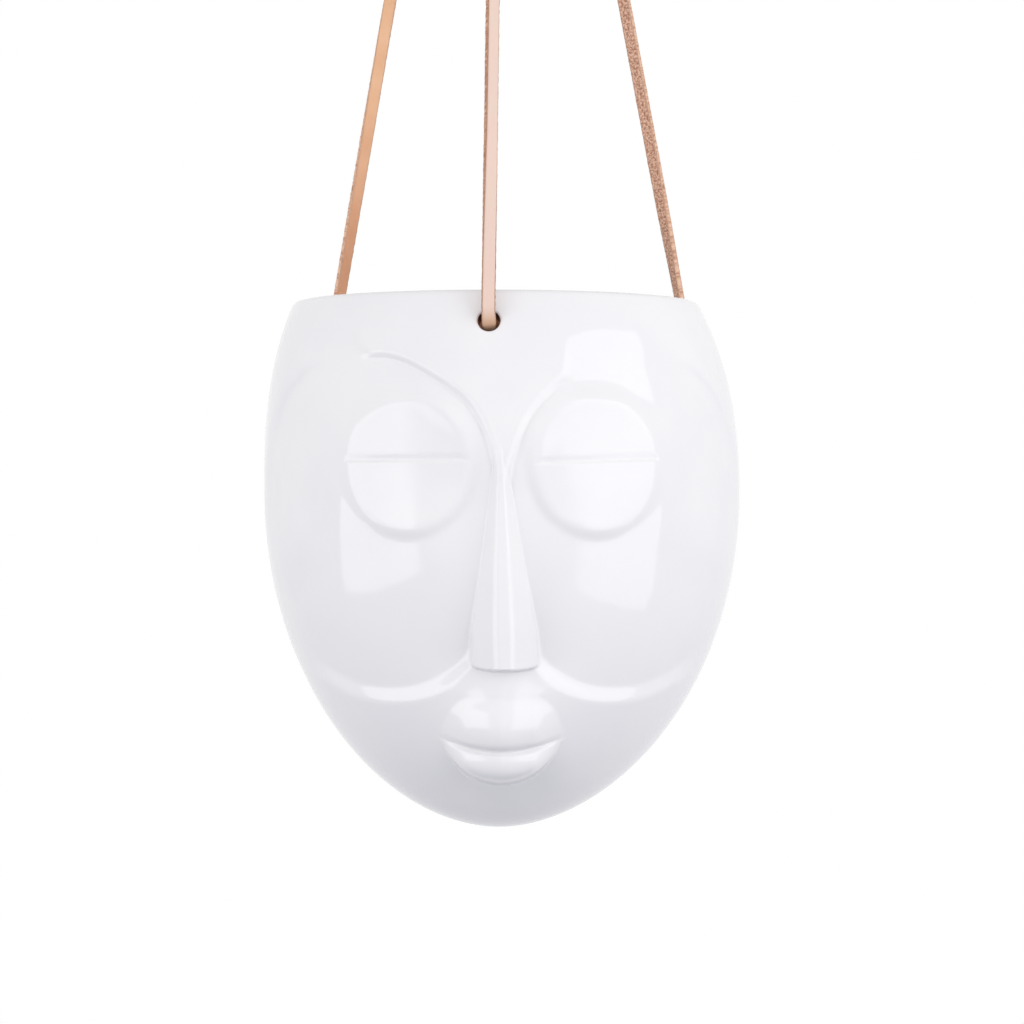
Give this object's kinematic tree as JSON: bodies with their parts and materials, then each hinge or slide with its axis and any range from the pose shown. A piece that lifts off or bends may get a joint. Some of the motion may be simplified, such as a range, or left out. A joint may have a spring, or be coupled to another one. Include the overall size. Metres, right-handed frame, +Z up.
{
  "type": "hanging planter",
  "caption": "Egg-shaped glazed ceramic pot with a mask in relief on its front, hung by flat leather laces that gather in a knot and loop through a steel ring.",
  "frame": {"origin": "centre of the steel ring's eye, where the planter hangs on a hook", "axes": "+Z up, -Y the way the mask looks, +X to the right as seen from in front of the mask; the eye's axis is Y"},
  "size_m": [0.166, 0.1664, 0.5505],
  "materials": {
    "glaze": "glossy white glaze",
    "lace_leather": "natural undyed leather, smooth outside, rough inside and at its cut edges",
    "ring_steel": "satin"
  },
  "bodies": {
    "ring": {"hanging_ring": "ring_steel"},
    "hung_pot": {"mask_pot": "glaze", "front_lace": "lace_leather", "left_lace": "lace_leather", "right_lace": "lace_leather", "front_stop_knot": "lace_leather", "left_stop_knot": "lace_leather", "right_stop_knot": "lace_leather", "gathering_knot": "lace_leather", "hanging_loop": "lace_leather"}
  },
  "joints": [
    {"name": "pot_swing", "type": "hinge", "parent": "ring", "child": "hung_pot", "pos_m": [0, 0, -0.0125], "axis": [1, 0, 0], "range_deg": [-45, 45]}
  ]
}
